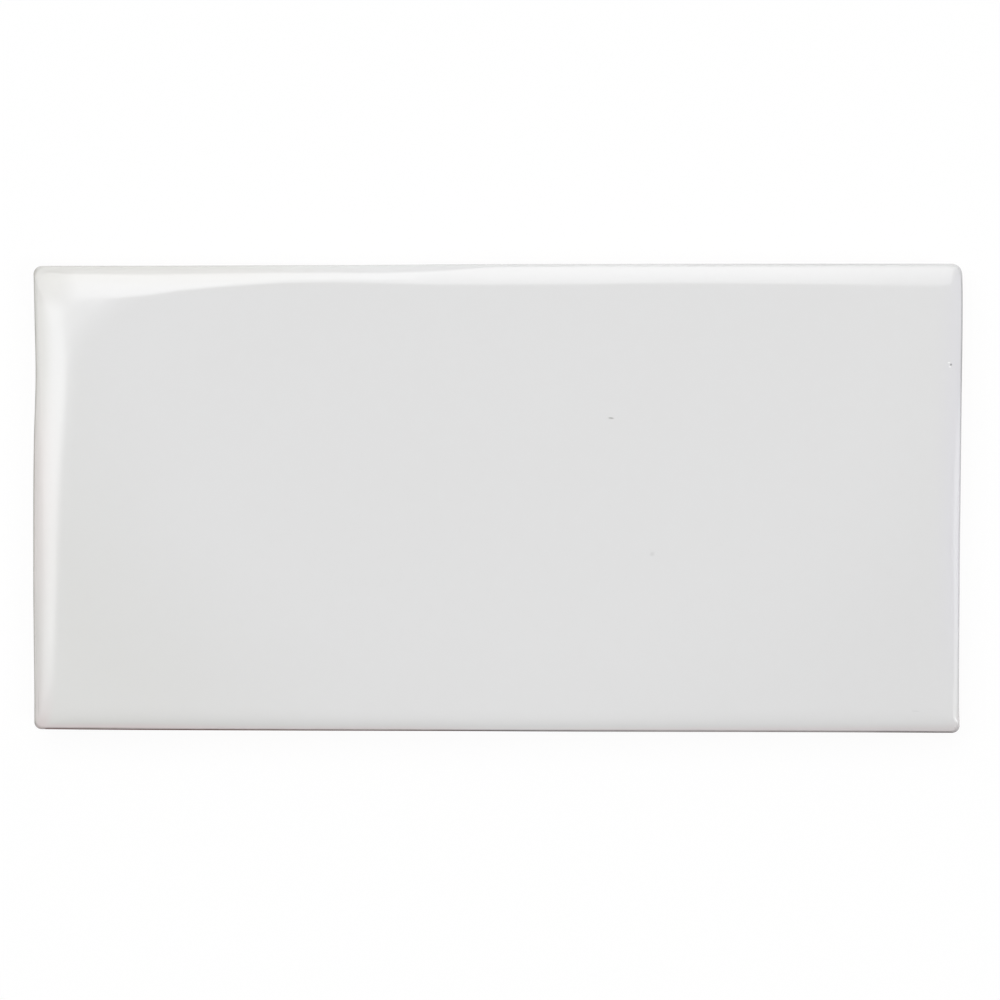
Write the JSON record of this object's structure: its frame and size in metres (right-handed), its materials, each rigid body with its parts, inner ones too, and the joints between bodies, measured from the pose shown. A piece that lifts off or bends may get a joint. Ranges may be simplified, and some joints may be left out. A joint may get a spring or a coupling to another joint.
{
  "type": "subway wall tile",
  "caption": "Oblong glazed ceramic wall tile with a cushioned edge, drafted sides and a ribbed lattice back that keys into the adhesive.",
  "frame": {"origin": "centre of the back, in the plane of the key ribs that the tile lies on", "axes": "+X along the length, +Y across the width, +Z out of the glazed face"},
  "size_m": [0.1496, 0.0754, 0.008],
  "materials": {
    "glaze": "gloss white glaze over a pale buff fired body"
  },
  "bodies": {
    "root": {"wall_tile": "glaze"}
  },
  "joints": []
}
